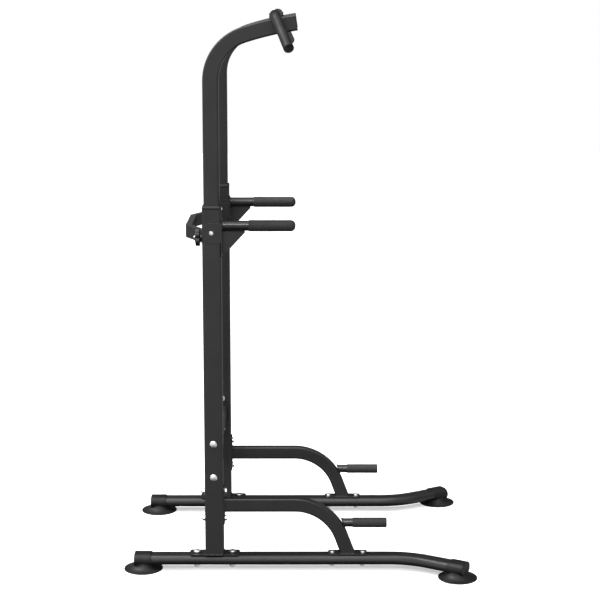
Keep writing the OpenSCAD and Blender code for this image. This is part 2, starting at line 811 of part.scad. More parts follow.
on_side(-1) rear_rail();  // right_rear_rail
on_side(1) rear_rail();  // left_rear_rail
on_side(-1) front_rail();  // right_front_rail
on_side(1) front_rail();  // left_front_rail
on_side(-1) rail_sleeve();  // right_rail_sleeve
on_side(1) rail_sleeve();  // left_rail_sleeve
on_side(-1) rear_foot();  // right_rear_foot
on_side(1) rear_foot();  // left_rear_foot
on_side(-1) front_foot();  // right_front_foot
on_side(1) front_foot();  // left_front_foot
on_side(-1) upright();  // right_upright
on_side(1) upright();  // left_upright
on_side(-1) collar();  // right_collar
on_side(1) collar();  // left_collar
on_side(-1) arch_brace();  // right_arch_brace
on_side(1) arch_brace();  // left_arch_brace
on_side(-1) push_up_bar();  // right_push_up_bar
on_side(1) push_up_bar();  // left_push_up_bar
on_side(-1) push_up_grip();  // right_push_up_grip
on_side(1) push_up_grip();  // left_push_up_grip
on_side(-1) dip_arm();  // right_dip_arm
on_side(1) dip_arm();  // left_dip_arm
on_side(-1) dip_grip();  // right_dip_grip
on_side(1) dip_grip();  // left_dip_grip
on_side(-1) clamp_boss();  // right_clamp_boss
on_side(1) clamp_boss();  // left_clamp_boss
on_side(-1) clamp_pad();  // right_clamp_pad
on_side(1) clamp_pad();  // left_clamp_pad
on_side(-1) clamp_knob();  // right_clamp_knob
on_side(1) clamp_knob();  // left_clamp_knob
on_side(-1) knob_insert();  // right_knob_insert
on_side(1) knob_insert();  // left_knob_insert
on_side(-1) post();  // right_post
on_side(1) post();  // left_post
on_side(-1) post_cap();  // right_post_cap
on_side(1) post_cap();  // left_post_cap
on_side(-1) post_bush();  // right_post_bush
on_side(1) post_bush();  // left_post_bush
on_side(-1) bar_saddle();  // right_bar_saddle
on_side(1) bar_saddle();  // left_bar_saddle
on_side(-1) bar_plug();  // right_bar_plug
on_side(1) bar_plug();  // left_bar_plug
lower_crossmember();
rear_crossbar();
pull_up_bar();
base_bolts();
base_washers();
base_nuts();
flange_bolts();
flange_nuts();
brace_bolts();
brace_nuts();
crossmember_bolts();
crossmember_nuts();
dip_bolts();
saddle_screws();
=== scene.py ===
import json
import math

import bmesh
import bpy
from mathutils import Matrix, Vector, noise


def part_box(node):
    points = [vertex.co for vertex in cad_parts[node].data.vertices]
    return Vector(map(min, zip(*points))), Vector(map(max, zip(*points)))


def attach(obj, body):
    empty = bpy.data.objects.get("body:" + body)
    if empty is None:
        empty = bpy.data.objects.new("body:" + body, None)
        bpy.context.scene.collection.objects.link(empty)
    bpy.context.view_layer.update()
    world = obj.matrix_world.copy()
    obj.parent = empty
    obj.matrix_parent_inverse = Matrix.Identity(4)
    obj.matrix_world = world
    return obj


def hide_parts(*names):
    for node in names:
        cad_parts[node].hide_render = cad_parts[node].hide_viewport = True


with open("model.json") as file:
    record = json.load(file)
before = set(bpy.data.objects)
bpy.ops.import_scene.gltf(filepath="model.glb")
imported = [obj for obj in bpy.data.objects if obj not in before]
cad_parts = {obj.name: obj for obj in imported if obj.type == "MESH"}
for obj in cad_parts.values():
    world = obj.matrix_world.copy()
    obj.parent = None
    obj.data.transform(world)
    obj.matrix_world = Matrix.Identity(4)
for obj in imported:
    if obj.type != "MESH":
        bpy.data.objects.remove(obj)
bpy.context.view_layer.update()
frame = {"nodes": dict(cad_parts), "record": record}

# Each side's sign along Y, and how far its upright stands from the middle.
SIDES = {"right": -1, "left": 1}
HALF_SPACING = 0.300
X, Y, Z = Vector((1, 0, 0)), Vector((0, 1, 0)), Vector((0, 0, 1))
nodes = frame["nodes"]
BODY_OF = {node: body for body, members in frame["record"]["behaviour"]["bodies"].items()
           for node in members}


# ---------------------------------------------------------------- camera, light, floor

# The camera stands level with the tower's top, on its right side, and looks down a little.
CAMERA_PLACE = (-0.007, -5.206, 1.843)
CAMERA_PITCH = 9.76
CAMERA_YAW = 0.11
CAMERA_SHIFT = -0.05
SENSOR = 36
LENS = 93.5

# The studio's light comes from this direction, and falls off to the far side and below.
SKY_BRIGHTEST = Vector((-0.30, -0.62, 0.72)).normalized()
SKY_SPREAD = (-0.05, 0.90)
SKY_LOW = 0.04
SKY_HIGH = 0.80
# A weak ring around the horizon lights the sides that face away from it. It fades out downward
# and upward over these heights, and it falls to a share of its strength behind the tower.
HORIZON = 0.36
RING_BOTTOM = (-0.55, -0.05)
RING_TOP = (0.12, 0.30)
RING_BACK = (0.0, 0.7)
HORIZON_BEHIND = 0.45
# A glow from low in front of the tower shows the faces that look that way.
GLOW = 0.7
GLOW_HEIGHT = (-0.36, -0.16)
GLOW_AHEAD = (0.3, 0.8)

FLOOR_HALF = 14.0
FLOOR_GLOW = 0.45


def make_camera():
    data = bpy.data.cameras.new("camera")
    data.lens = LENS
    data.sensor_width = SENSOR
    data.shift_y = CAMERA_SHIFT
    camera = bpy.data.objects.new("camera", data)
    bpy.context.scene.collection.objects.link(camera)
    camera.location = CAMERA_PLACE
    camera.rotation_euler = (math.radians(90 - CAMERA_PITCH), 0, math.radians(-CAMERA_YAW))
    bpy.context.scene.camera = camera


def make_world():
    """White behind the object. What lights it is brightest above and on the camera's side."""
    world = bpy.data.worlds.new("studio")
    world.use_nodes = True
    tree = world.node_tree
    backdrop = tree.nodes["Background"]
    backdrop.inputs["Color"].default_value = (1, 1, 1, 1)
    backdrop.inputs["Strength"].default_value = 1.0
    around = tree.nodes.new("ShaderNodeBackground")
    around.inputs["Color"].default_value = (1, 1, 1, 1)
    direction = tree.nodes.new("ShaderNodeTexCoord").outputs["Generated"]
    facing = tree.nodes.new("ShaderNodeVectorMath")
    facing.operation = "DOT_PRODUCT"
    facing.inputs[1].default_value = SKY_BRIGHTEST
    tree.links.new(direction, facing.inputs[0])

    def smooth_step(source, span, low, high):
        """Goes from low to high while source goes through span."""
        made = tree.nodes.new("ShaderNodeMapRange")
        made.interpolation_type = "SMOOTHSTEP"
        made.inputs["From Min"].default_value, made.inputs["From Max"].default_value = span
        made.inputs["To Min"].default_value = low
        made.inputs["To Max"].default_value = high
        tree.links.new(source, made.inputs["Value"])
        return made.outputs["Result"]

    def combine(operation, first, second):
        made = tree.nodes.new("ShaderNodeMath")
        made.operation = operation
        tree.links.new(first, made.inputs[0])
        tree.links.new(second, made.inputs[1])
        return made.outputs["Value"]

    parts = tree.nodes.new("ShaderNodeSeparateXYZ")
    tree.links.new(direction, parts.inputs["Vector"])
    ahead, across, height = (parts.outputs[axis] for axis in "XYZ")
    sky = smooth_step(facing.outputs["Value"], SKY_SPREAD, SKY_LOW, SKY_HIGH)
    ring_height = combine("MULTIPLY", smooth_step(height, RING_BOTTOM, 0.0, HORIZON),
                          smooth_step(height, RING_TOP, 1.0, 0.0))
    horizon = combine("MULTIPLY", ring_height, smooth_step(across, RING_BACK, 1.0, HORIZON_BEHIND))
    glow = combine("MULTIPLY", smooth_step(height, GLOW_HEIGHT, 1.0, 0.0),
                   smooth_step(ahead, GLOW_AHEAD, 0.0, GLOW))
    strength = combine("ADD", combine("ADD", sky, horizon), glow)
    tree.links.new(strength, around.inputs["Strength"])
    seen = tree.nodes.new("ShaderNodeLightPath").outputs["Is Camera Ray"]
    mix = tree.nodes.new("ShaderNodeMixShader")
    tree.links.new(seen, mix.inputs[0])
    tree.links.new(around.outputs["Background"], mix.inputs[1])
    tree.links.new(backdrop.outputs["Background"], mix.inputs[2])
    tree.links.new(mix.outputs["Shader"], tree.nodes["World Output"].inputs["Surface"])
    bpy.context.scene.world = world
    bpy.context.scene.view_settings.view_transform = "Standard"


def add_light(name, kind, aim):
    """Adds a light at the origin that shines along aim."""
    light = bpy.data.objects.new(name, bpy.data.lights.new(name, kind))
    bpy.context.scene.collection.objects.link(light)
    light.rotation_euler = aim.to_track_quat("-Z", "Y").to_euler()
    return light


def sun_light(name, towards, angle, strength):
    light = add_light(name, "SUN", -Vector(towards))
    light.data.angle = math.radians(angle)
    light.data.energy = strength


def strip_light(name, place, target, size, power):
    light = add_light(name, "AREA", Vector(target) - Vector(place))
    light.location = place
    light.data.shape = "RECTANGLE"
    light.data.size, light.data.size_y = size
    light.data.energy = power


def make_lights():
    """Soft suns overhead and on the camera's side, and a strip that draws the bends' edges."""
    sun_light("overhead", towards=(0.0, -0.25, 1.0), angle=42, strength=0.9)
    sun_light("key", towards=(0.0, -0.77, 0.64), angle=14, strength=0.9)
    strip_light("edge", place=(-4.1, -0.35, 6.3), target=(-0.2, -0.35, 1.75), size=(0.8, 4.4),
                power=640)


def make_floor():
    """Pale floor that takes the shadows. The object's own reflections don't show it."""
    mesh = bpy.data.meshes.new("floor")
    corners = [(x * FLOOR_HALF, y * FLOOR_HALF, 0) for x, y in ((-1, -1), (1, -1), (1, 1), (-1, 1))]
    mesh.from_pydata(corners, [], [(0, 1, 2, 3)])
    floor = bpy.data.objects.new("floor", mesh)
    bpy.context.scene.collection.objects.link(floor)
    floor.visible_glossy = False
    floor.visible_diffuse = False
    material = bpy.data.materials.new("floor")
    material.use_nodes = True
    shader = material.node_tree.nodes["Principled BSDF"]
    shader.inputs["Base Color"].default_value = (0.9, 0.9, 0.9, 1)
    shader.inputs["Roughness"].default_value = 0.9
    shader.inputs["Specular IOR Level"].default_value = 0.1
    shader.inputs["Emission Color"].default_value = (1, 1, 1, 1)
    shader.inputs["Emission Strength"].default_value = FLOOR_GLOW
    mesh.materials.append(material)


# ---------------------------------------------------------------- materials

class Shader:
    """A material's node tree, with short ways to add nodes."""

    def __init__(self, name, metallic=0.0, specular=0.5, coat=0.0, coat_roughness=0.1):
        self.material = bpy.data.materials.new(name)
        self.material.use_nodes = True
        self.tree = self.material.node_tree
        self.out = self.tree.nodes["Principled BSDF"]
        self.out.inputs["Metallic"].default_value = metallic
        self.out.inputs["Specular IOR Level"].default_value = specular
        self.out.inputs["Coat Weight"].default_value = coat
        self.out.inputs["Coat Roughness"].default_value = coat_roughness
        self.place = self.tree.nodes.new("ShaderNodeTexCoord").outputs["Object"]

    def link(self, source, target):
        self.tree.links.new(source, target)

    def node(self, kind, **values):
        made = self.tree.nodes.new(kind)
        for name, value in values.items():
            setattr(made, name, value)
        return made

    def noise(self, scale, detail=2.0):
        made = self.node("ShaderNodeTexNoise")
        made.inputs["Scale"].default_value = scale
        made.inputs["Detail"].default_value = detail
        self.link(self.place, made.inputs["Vector"])
        return made.outputs["Fac"]

    def cells(self, scale):
        made = self.node("ShaderNodeTexVoronoi")
        made.inputs["Scale"].default_value = scale
        self.link(self.place, made.inputs["Vector"])
        return made.outputs["Distance"]

    def ramp(self, source, low, high, start=0.3, end=0.7):
        """Spreads source between two values or colours."""
        made = self.node("ShaderNodeMapRange", clamp=True)
        made.inputs["From Min"].default_value = start
        made.inputs["From Max"].default_value = end
        made.inputs["To Min"].default_value = low
        made.inputs["To Max"].default_value = high
        self.link(source, made.inputs["Value"])
        return made.outputs["Result"]

    def mix(self, factor, first, second):
        made = self.node("ShaderNodeMix", data_type="RGBA")
        self.feed(factor, made.inputs["Factor"])
        self.feed(first, made.inputs["A"])
        self.feed(second, made.inputs["B"])
        return made.outputs["Result"]

    def feed(self, value, socket):
        if isinstance(value, bpy.types.NodeSocket):
            self.link(value, socket)
        elif isinstance(value, tuple):
            socket.default_value = (*value, 1)
        else:
            socket.default_value = value

    def worn_edges(self, radius, low, high):
        """1 on sharp edges and 0 on open faces, broken up by noise."""
        bevel = self.node("ShaderNodeBevel", samples=6)
        bevel.inputs["Radius"].default_value = radius
        geometry = self.node("ShaderNodeNewGeometry")
        dot = self.node("ShaderNodeVectorMath", operation="DOT_PRODUCT")
        self.link(bevel.outputs["Normal"], dot.inputs[0])
        self.link(geometry.outputs["Normal"], dot.inputs[1])
        edge = self.ramp(dot.outputs["Value"], 1.0, 0.0, low, high)
        broken = self.node("ShaderNodeMath", operation="MULTIPLY")
        self.link(edge, broken.inputs[0])
        self.link(self.ramp(self.noise(120, 3), 0.0, 1.0, 0.4, 0.62), broken.inputs[1])
        return broken.outputs["Value"]

    def relief(self, layers, radius=0.0012):
        """Rounds the edges, then adds bump layers of (height, distance, strength)."""
        bevel = self.node("ShaderNodeBevel", samples=6)
        bevel.inputs["Radius"].default_value = radius
        normal = bevel.outputs["Normal"]
        for height, distance, strength in layers:
            bump = self.node("ShaderNodeBump")
            bump.inputs["Distance"].default_value = distance
            bump.inputs["Strength"].default_value = strength
            self.link(height, bump.inputs["Height"])
            self.link(normal, bump.inputs["Normal"])
            normal = bump.outputs["Normal"]
        self.link(normal, self.out.inputs["Normal"])

    def colour(self, value):
        self.feed(value, self.out.inputs["Base Color"])

    def rough(self, value):
        self.feed(value, self.out.inputs["Roughness"])


def powder_coat():
    """Satin black powder coat: fine orange peel, faint dust and slightly rubbed edges."""
    s = Shader("powder_coat", specular=0.3, coat=0.4, coat_roughness=0.14)
    mottle = s.ramp(s.noise(9, 4), 0.0, 1.0)
    base = s.mix(mottle, (0.0125, 0.0125, 0.0130), (0.0185, 0.0185, 0.0190))
    s.colour(s.mix(s.worn_edges(0.0012, 0.86, 0.99), base, (0.055, 0.055, 0.056)))
    s.rough(s.ramp(s.noise(35, 3), 0.32, 0.42))
    s.relief([(s.noise(900, 2), 0.00006, 0.5), (s.noise(260, 2), 0.00008, 0.35)])
    return s.material


def zinc():
    """Bright zinc plating with fine turning marks and dull patches."""
    s = Shader("zinc_plate", metallic=1.0)
    patches = s.ramp(s.noise(160, 4), 0.0, 1.0)
    s.colour(s.mix(patches, (0.80, 0.81, 0.82), (0.93, 0.93, 0.94)))
    s.rough(s.ramp(s.noise(420, 3), 0.30, 0.50))
    s.relief([(s.noise(2600, 2), 0.00003, 0.4)], 0.0006)
    return s.material


def foot_rubber():
    """Moulded rubber: matt, faintly mottled, with a fine grain."""
    s = Shader("foot_rubber", specular=0.3)
    dust = s.ramp(s.noise(28, 5), 0.0, 1.0, 0.35, 0.75)
    s.colour(s.mix(dust, (0.006, 0.006, 0.007), (0.014, 0.014, 0.014)))
    s.rough(s.ramp(s.noise(60, 3), 0.46, 0.62))
    s.relief([(s.noise(1500, 2), 0.00008, 0.6), (s.noise(90, 3), 0.0003, 0.25)], 0.0015)
    return s.material


def grip_foam():
    """Closed-cell foam: fine open pores on a soft matt skin, with painted shade darkening the
    pores.
    """
    s = Shader("grip_foam", specular=0.35)
    pore_depth_and_shade = s.ramp(s.cells(900), 0.0, 1.0, 0.1, 0.6)
    # The colour is darker where the pores sink in: painted shade in the pores.
    s.colour(s.mix(pore_depth_and_shade, (0.017, 0.017, 0.018), (0.034, 0.034, 0.035)))
    s.rough(s.ramp(s.noise(70, 3), 0.62, 0.8))
    s.relief([(pore_depth_and_shade, 0.00015, 0.6), (s.noise(120, 3), 0.0004, 0.3)], 0.001)
    return s.material


def black_plastic():
    """Injection-moulded plastic with a fine spark-eroded grain."""
    s = Shader("black_plastic", specular=0.45)
    flow = s.ramp(s.noise(20, 3), 0.0, 1.0)
    s.colour(s.mix(flow, (0.011, 0.011, 0.012), (0.018, 0.018, 0.019)))
    s.rough(s.ramp(s.noise(140, 3), 0.38, 0.5))
    s.relief([(s.cells(1400), 0.00006, 0.5)], 0.001)
    return s.material


def brass():
    """Turned brass, dulled by handling."""
    s = Shader("brass", metallic=1.0)
    tarnish = s.ramp(s.noise(240, 4), 0.0, 1.0)
    s.colour(s.mix(tarnish, (0.34, 0.24, 0.10), (0.66, 0.50, 0.22)))
    s.rough(s.ramp(s.noise(500, 2), 0.25, 0.45))
    s.relief([(s.noise(3000, 2), 0.00002, 0.4)], 0.0004)
    return s.material


def make_materials():
    return {"powder_coat": powder_coat(), "zinc_plate": zinc(), "foot_rubber": foot_rubber(),
            "grip_foam": grip_foam(), "black_plastic": black_plastic(), "brass": brass()}


def paint_frame(materials):
    for row in frame["record"]["subparts"]:
        mesh = nodes[row["node"]].data
        mesh.materials.clear()
        mesh.materials.append(materials[row["material_slot"]])


# ---------------------------------------------------------------- mesh helpers

def ring(radius, z, steps=48):
    """Points around Z; radius is a number or a function of the angle."""
    turn = 2 * math.pi / steps
    reach = radius if callable(radius) else lambda angle: radius
    return [Vector((reach(i * turn) * math.cos(i * turn), reach(i * turn) * math.sin(i * turn), z))
            for i in range(steps)]


def loft(bm, rings, at=Matrix.Identity(4), looped=False, capped=True):
    """Adds a skin over rings of points. A looped skin closes on its first ring."""
    rows = [[bm.verts.new(at @ p) for p in points] for points in rings]
    pairs = list(zip(rows, rows[1:])) + ([(rows[-1], rows[0])] if looped else [])
    for lower, upper in pairs:
        for i in range(len(lower)):
            j = (i + 1) % len(lower)
            bm.faces.new((lower[i], lower[j], upper[j], upper[i]))
    if capped and not looped:
        bm.faces.new(list(reversed(rows[0])))
        bm.faces.new(rows[-1])


def lathe(bm, profile, at=Matrix.Identity(4), steps=48, looped=False):
    """Adds a turned shape from (radius, z) points."""
    loft(bm, [ring(radius, z, steps) for radius, z in profile], at, looped)


def arc(centre, radius, start, end, steps):
    """(radius, z) points on an arc, with angles in degrees."""
    angles = [math.radians(start + (end - start) * i / steps) for i in range(steps + 1)]
    return [(centre[0] + radius * math.cos(a), centre[1] + radius * math.sin(a)) for a in angles]


def pointing(axis, origin):
    """The frame whose Z is axis, at origin."""
    turn = Vector(axis).to_track_quat("Z", "Y").to_matrix().to_4x4()
    return Matrix.Translation(origin) @ turn


def add_piece(name, bm, body, slot, replaces=(), sharp=40):
    bmesh.ops.remove_doubles(bm, verts=bm.verts, dist=1e-7)
    bmesh.ops.recalc_face_normals(bm, faces=bm.faces)
    mesh = bpy.data.meshes.new(name)
    bm.to_mesh(mesh)
    bm.free()
    mesh.shade_smooth()
    mesh.set_sharp_from_angle(angle=math.radians(sharp))
    mesh.materials.append(materials[slot])
    made = bpy.data.objects.new(name, mesh)
    bpy.context.scene.collection.objects.link(made)
    if replaces:
        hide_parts(*replaces)
    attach(made, body)
    return made


def islands(node):
    """(lowest, highest) corner of each separate solid in a CAD node."""
    bm = bmesh.new()
    bm.from_mesh(nodes[node].data)
    bmesh.ops.remove_doubles(bm, verts=bm.verts, dist=1e-6)
    left, found = set(bm.verts), []
    while left:
        edge, group = [left.pop()], []
        while edge:
            vert = edge.pop()
            group.append(vert.co.copy())
            near = {e.other_vert(vert) for e in vert.link_edges} & left
            left -= near
            edge += near
        found.append((Vector(map(min, *group)), Vector(map(max, *group))))
    bm.free()
    return sorted(found, key=lambda box: tuple(box[0]))


# ---------------------------------------------------------------- fasteners

M10 = dict(radius=0.005, pitch=0.0015, nut_across=0.017)
M8 = dict(radius=0.004, pitch=0.00125, nut_across=0.013)
# Each head's width and height.
WIDE_DOME = (0.024, 0.006)
NARROW_DOME = (0.018, 0.006)
FLANGED_HEX = (0.017, 0.007)
SMALL_HEX = (0.013, 0.0055)
# What a hex head sits on: share of the head's width, and height. The hexagon starts inside it.
HEX_SEAT = ((0.44, 0.0), (0.47, 0.0003), (0.47, 0.0008))
HEX_START = 0.0006
FLANGE = ((0.57, 0.0), (0.58, 0.0004), (0.58, 0.0012), (0.54, 0.0018))
FLANGE_TOP = 0.0012
DOME_RIM = 0.22
WASHER = 0.002
WASHER_SHARE = 0.615
WASHER_EDGE = 0.0003
NUT_CHAMFER = 0.0006
BORE_PLAY = 0.00015
THREAD_DEPTH = 0.0006
ROWS_PER_THREAD = 8
# A shank runs into its head by this much.
SHANK_LAP = 0.0003


def hexagon(across, z, low, high):
    """Ring of a hexagon whose corners are chamfered towards its ends at z = low and high."""
    chamfer = across * 0.485 + 1.75 * min(z - low, high - z)

    def reach(angle):
        off = (angle % (math.pi / 3)) - math.pi / 6
        return min(across / 2 / math.cos(off), chamfer)

    return ring(reach, z, 72)


def hexagon_rings(across, low, high):
    """Rings of a hexagonal prism with chamfered ends."""
    lip = across * 0.055
    steps = [low, low + lip / 2, low + lip, (low + high) / 2, high - lip, high - lip / 2, high]
    return [hexagon(across, z, low, high) for z in steps]


def add_thread(bm, size, start, end, at):
    """Threaded rod from z = start down to z = end, with a chamfered tip."""
    radius, pitch = size["radius"], size["pitch"]
    count = round((start - end) / pitch * ROWS_PER_THREAD)

    def row(i):
        z = start + (end - start) * i / count
        tip = min(1.0, (z - end) / pitch)

        def reach(angle):
            wave = abs(((z / pitch - angle / (2 * math.pi)) % 1) - 0.5) * 2
            return radius - THREAD_DEPTH * (1 - wave) - THREAD_DEPTH * (1 - tip)

        return ring(reach, z, 24)

    loft(bm, [row(i) for i in range(count + 1)], at)


def add_shank(bm, size, length, threaded, at):
    """Plain shank from under the head, then the thread down to z = -length."""
    if length > threaded:
        lathe(bm, [(size["radius"], SHANK_LAP), (size["radius"], threaded - length)], at, 32)
    add_thread(bm, size, min(0.0, threaded - length), -length, at)


def add_hex_head(bm, across, height, at):
    lathe(bm, [(across * share, z) for share, z in HEX_SEAT], at)
    loft(bm, hexagon_rings(across, HEX_START, height), at)


def add_flanged_head(bm, across, height, at):
    lathe(bm, [(across * share, z) for share, z in FLANGE], at)
    loft(bm, hexagon_rings(across, FLANGE_TOP, height), at)


def add_dome_head(bm, across, height, at):
    radius, rim = across / 2, height * DOME_RIM
    dome = [(radius * math.cos(a), rim + (height - rim) * math.sin(a))
            for a in [math.radians(7.2 * i) for i in range(1, 13)]]
    lathe(bm, [(radius * 0.97, 0.0), (radius, rim * 0.4), (radius, rim), *dome], at)


def add_nut(bm, size, height, at):
    """Washer and chamfered nut, seated at z = 0."""
    across, bore = size["nut_across"], size["radius"] + BORE_PLAY
    rim = across * WASHER_SHARE
    lathe(bm, [(bore, 0), (rim - WASHER_EDGE, 0), (rim, WASHER_EDGE), (rim, WASHER - WASHER_EDGE),
               (rim - WASHER_EDGE, WASHER), (bore, WASHER)], at, looped=True)
    outer = hexagon_rings(across, WASHER, height)
    inner = [ring(bore + NUT_CHAMFER, height, 72), ring(bore, height - NUT_CHAMFER, 72),
             ring(bore, WASHER, 72)]
    loft(bm, outer + inner, at, looped=True)


def ends_along(box, axis):
    """The highest and lowest point of a box's middle line along a unit axis."""
    low, high = box
    centre = (low + high) / 2
    half = abs((high - low).dot(axis)) / 2
    return centre + axis * half, centre - axis * half


def bolts(node, size, axis_of, add_head, head, threaded):
    """Redraws a node of bolts: their heads point along axis_of(centre)."""
    width, head_height = head
    bm = bmesh.new()
    for box in islands(node):
        axis = Vector(axis_of((box[0] + box[1]) / 2))
        top, tip = ends_along(box, axis)
        at = pointing(axis, top - axis * head_height)
        add_head(bm, width, head_height, at)
        add_shank(bm, size, (top - tip).length - head_height, threaded, at)
    add_piece(node + "_fine", bm, BODY_OF[node], "zinc_plate", [node])


def nuts(node, size, axis_of):
    """Redraws a node of nuts with their washers: their tops point along axis_of(centre)."""
    bm = bmesh.new()
    for box in islands(node):
        axis = Vector(axis_of((box[0] + box[1]) / 2))
        top, seat = ends_along(box, axis)
        add_nut(bm, size, (top - seat).length, pointing(axis, seat))
    add_piece(node + "_fine", bm, BODY_OF[node], "zinc_plate", [node])


def outward(point):
    return (0, 1 if point.y > 0 else -1, 0)


def inward(point):
    return (0, -1 if point.y > 0 else 1, 0)


def away_from_upright(point):
    """The dip bolts' heads point away from the middle of their own upright."""
    return outward(point) if abs(point.y) > HALF_SPACING else inward(point)


def make_fasteners():
    up, down = (lambda p: (0, 0, 1)), (lambda p: (0, 0, -1))
    front, back = (lambda p: (1, 0, 0)), (lambda p: (-1, 0, 0))
    bolts("base_bolts", M10, up, add_dome_head, WIDE_DOME, threaded=0.02)
    bolts("crossmember_bolts", M10, outward, add_dome_head, WIDE_DOME, threaded=0.02)
    bolts("brace_bolts", M8, up, add_dome_head, NARROW_DOME, threaded=0.018)
    bolts("flange_bolts", M10, front, add_flanged_head, FLANGED_HEX, threaded=0.02)
    bolts("dip_bolts", M8, away_from_upright, add_hex_head, SMALL_HEX, threaded=0.005)
    nuts("base_nuts", M10, down)
    nuts("flange_nuts", M10, back)
    nuts("brace_nuts", M8, down)
    nuts("crossmember_nuts", M10, inward)


# ---------------------------------------------------------------- foam grips

# Rounding of the free end: full on the dip grips, small on the push-up grips.
NOSE = 0.0155
EDGE = 0.0026
# Rounding of the end that the bar goes in, and the least foam beyond the bar's end.
MOUTH = 0.0022
FOAM_END = 0.004
BORE_IN_NOSE = 0.65
FOAM_PLAY = 0.0001
# How uneven the skin is, and how far outside the bore it starts.
FOAM_WOBBLE = 0.00022
SKIN_START = 0.0005
# A turned shape ends this far from its axis, in a small flat.
FOAM_TIP = 0.0004


def foam_grip(side, name, nose, tube):
    """Foam sleeve pulled over a bar along X; its free end is rounded by nose."""
    node = f"{side}_{name}"
    low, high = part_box(node)
    length, radius = high.x - low.x, (high.z - low.z) / 2
    bore_end = length - max(FOAM_END, nose * BORE_IN_NOSE)
    body = [(radius, MOUTH + (length - nose - MOUTH) * i / 60) for i in range(1, 60)]
    tip = arc((radius - nose, length - nose), nose, 0, 88, 14)
    entry = arc((radius - MOUTH, MOUTH), MOUTH, -90, 0, 6)
    bore = [(FOAM_TIP, bore_end), (tube, bore_end), (tube, 0.0)]
    profile = bore + entry + body + tip + [(FOAM_TIP, length)]
    bm = bmesh.new()
    origin = (low.x, (low.y + high.y) / 2, (low.z + high.z) / 2)
    lathe(bm, profile, pointing((1, 0, 0), origin), 72)
    for v in bm.verts:
        away = Vector((0, v.co.y - origin[1], v.co.z - origin[2]))
        if away.length > tube + SKIN_START:
            soft = noise.noise(v.co * 38) + 0.5 * noise.noise(v.co * 110)
            v.co -= away.normalized() * FOAM_WOBBLE * (1 + soft)
    made = add_piece(f"{node}_foam", bm, BODY_OF[node], "grip_foam", [node], 60)


# ---------------------------------------------------------------- rubber feet and plastic ends

FOOT_VOXEL = 0.0014
FOOT_SMOOTHING = 7


def rubber_foot(node):
    """The foot's own shape with every edge and inside corner rounded, as moulded rubber has."""
    mesh = nodes[node].data.copy()
    mesh.materials.clear()
    made = bpy.data.objects.new(f"{node}_moulded", mesh)
    bpy.context.scene.collection.objects.link(made)
    remesh = made.modifiers.new("remesh", "REMESH")
    remesh.mode = "VOXEL"
    remesh.voxel_size = FOOT_VOXEL
    smooth = made.modifiers.new("smooth", "SMOOTH")
    smooth.factor = 0.5
    smooth.iterations = FOOT_SMOOTHING
    depsgraph = bpy.context.evaluated_depsgraph_get()
    rounded = bpy.data.meshes.new_from_object(made.evaluated_get(depsgraph))
    bpy.data.objects.remove(made)
    bm = bmesh.new()
    bm.from_mesh(rounded)
    # The smoothing lifts the sole, so the lower part is stretched back down to the floor.
    lift = min(v.co.z for v in bm.verts)
    low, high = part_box(node)
    for v in bm.verts:
        v.co.z -= lift * max(0.0, 1 - v.co.z / (high.z - low.z))
    add_piece(f"{node}_moulded", bm, BODY_OF[node], "foot_rubber", [node], 180)


def rounded_square(half, corner, z):
    """Ring of a square with rounded corners."""
    points = []
    for sx, sy, start in ((1, 1, 0), (-1, 1, 90), (-1, -1, 180), (1, -1, 270)):
        for i in range(9):
            a = math.radians(start + 90 * i / 8)
            points.append(Vector((sx * (half - corner) + corner * math.cos(a),
                                  sy * (half - corner) + corner * math.sin(a), z)))
    return points


CAP_TILT = math.radians(8.5)
POST = 0.050
CAP = 0.004
CAP_SOFT = 0.0016
# The panel's rings: inset from the cap's edge, corner radius and depth.
CAP_PANEL = ((0.0065, 0.0035, 0.0), (0.0072, 0.0033, 0.0006), (0.0080, 0.0030, 0.0008),
             (0.0210, 0.0020, 0.0006))
# The part inside the tube: inset, corner radius and length.
CAP_STEM = (0.0025, 0.0035, 0.024)
# A plug's stem and its cap run into each other by this much.
STEM_LAP = 0.0002


def post_cap(side):
    """Plug in the post's end with soft edges and a shallow panel in its face."""
    node = f"{side}_post_cap"
    low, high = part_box(node)
    facing = X * math.cos(CAP_TILT) + Z * math.sin(CAP_TILT)
    to_corner = X * math.sin(CAP_TILT) + Z * math.cos(CAP_TILT)
    centre = Vector((high.x, (low.y + high.y) / 2, high.z)) - to_corner * POST / 2 - facing * CAP
    half, edge = POST / 2, CAP - CAP_SOFT
    rings = [rounded_square(half, TUBE_CORNER, 0.0), rounded_square(half, TUBE_CORNER, edge)]
    for i in range(1, 6):
        a = math.radians(18 * i)
        inset, z = CAP_SOFT * (1 - math.cos(a)), edge + CAP_SOFT * math.sin(a)
        rings.append(rounded_square(half - inset, TUBE_CORNER - inset, z))
    for inset, corner, depth in CAP_PANEL:
        rings.append(rounded_square(half - inset, corner, CAP - depth))
    bm = bmesh.new()
    loft(bm, rings, pointing(facing, centre))
    inset, corner, length = CAP_STEM
    loft(bm, [rounded_square(half - inset, corner, z) for z in (-length, STEM_LAP)],
         pointing(facing, centre))
    add_piece(f"{node}_fine", bm, BODY_OF[node], "black_plastic", [node], 50)


BAR = 0.032
BAR_TURN = math.radians(33.32)
BAR_SWING = math.radians(23.85)
PLUG = 0.003
PLUG_SOFT = 0.0012
PLUG_TIP = 0.0005
# The ribbed stem inside the tube.
PLUG_STEM = 0.018
PLUG_STEM_INSET = 0.0022
RIBS = 6
RIB_START = 0.0015
RIB_SPACING = 0.0026
# Depth below the stem's surface and height, over one rib.
RIB = ((0.0008, 0.0), (0.0, 0.0005), (0.0, 0.0009), (0.0008, 0.0014))
# The dish in the plug's face: inset from the rim, and depth.
DISH = ((0.0035, 0.0), (0.0042, 0.0006), (0.0055, 0.0009))


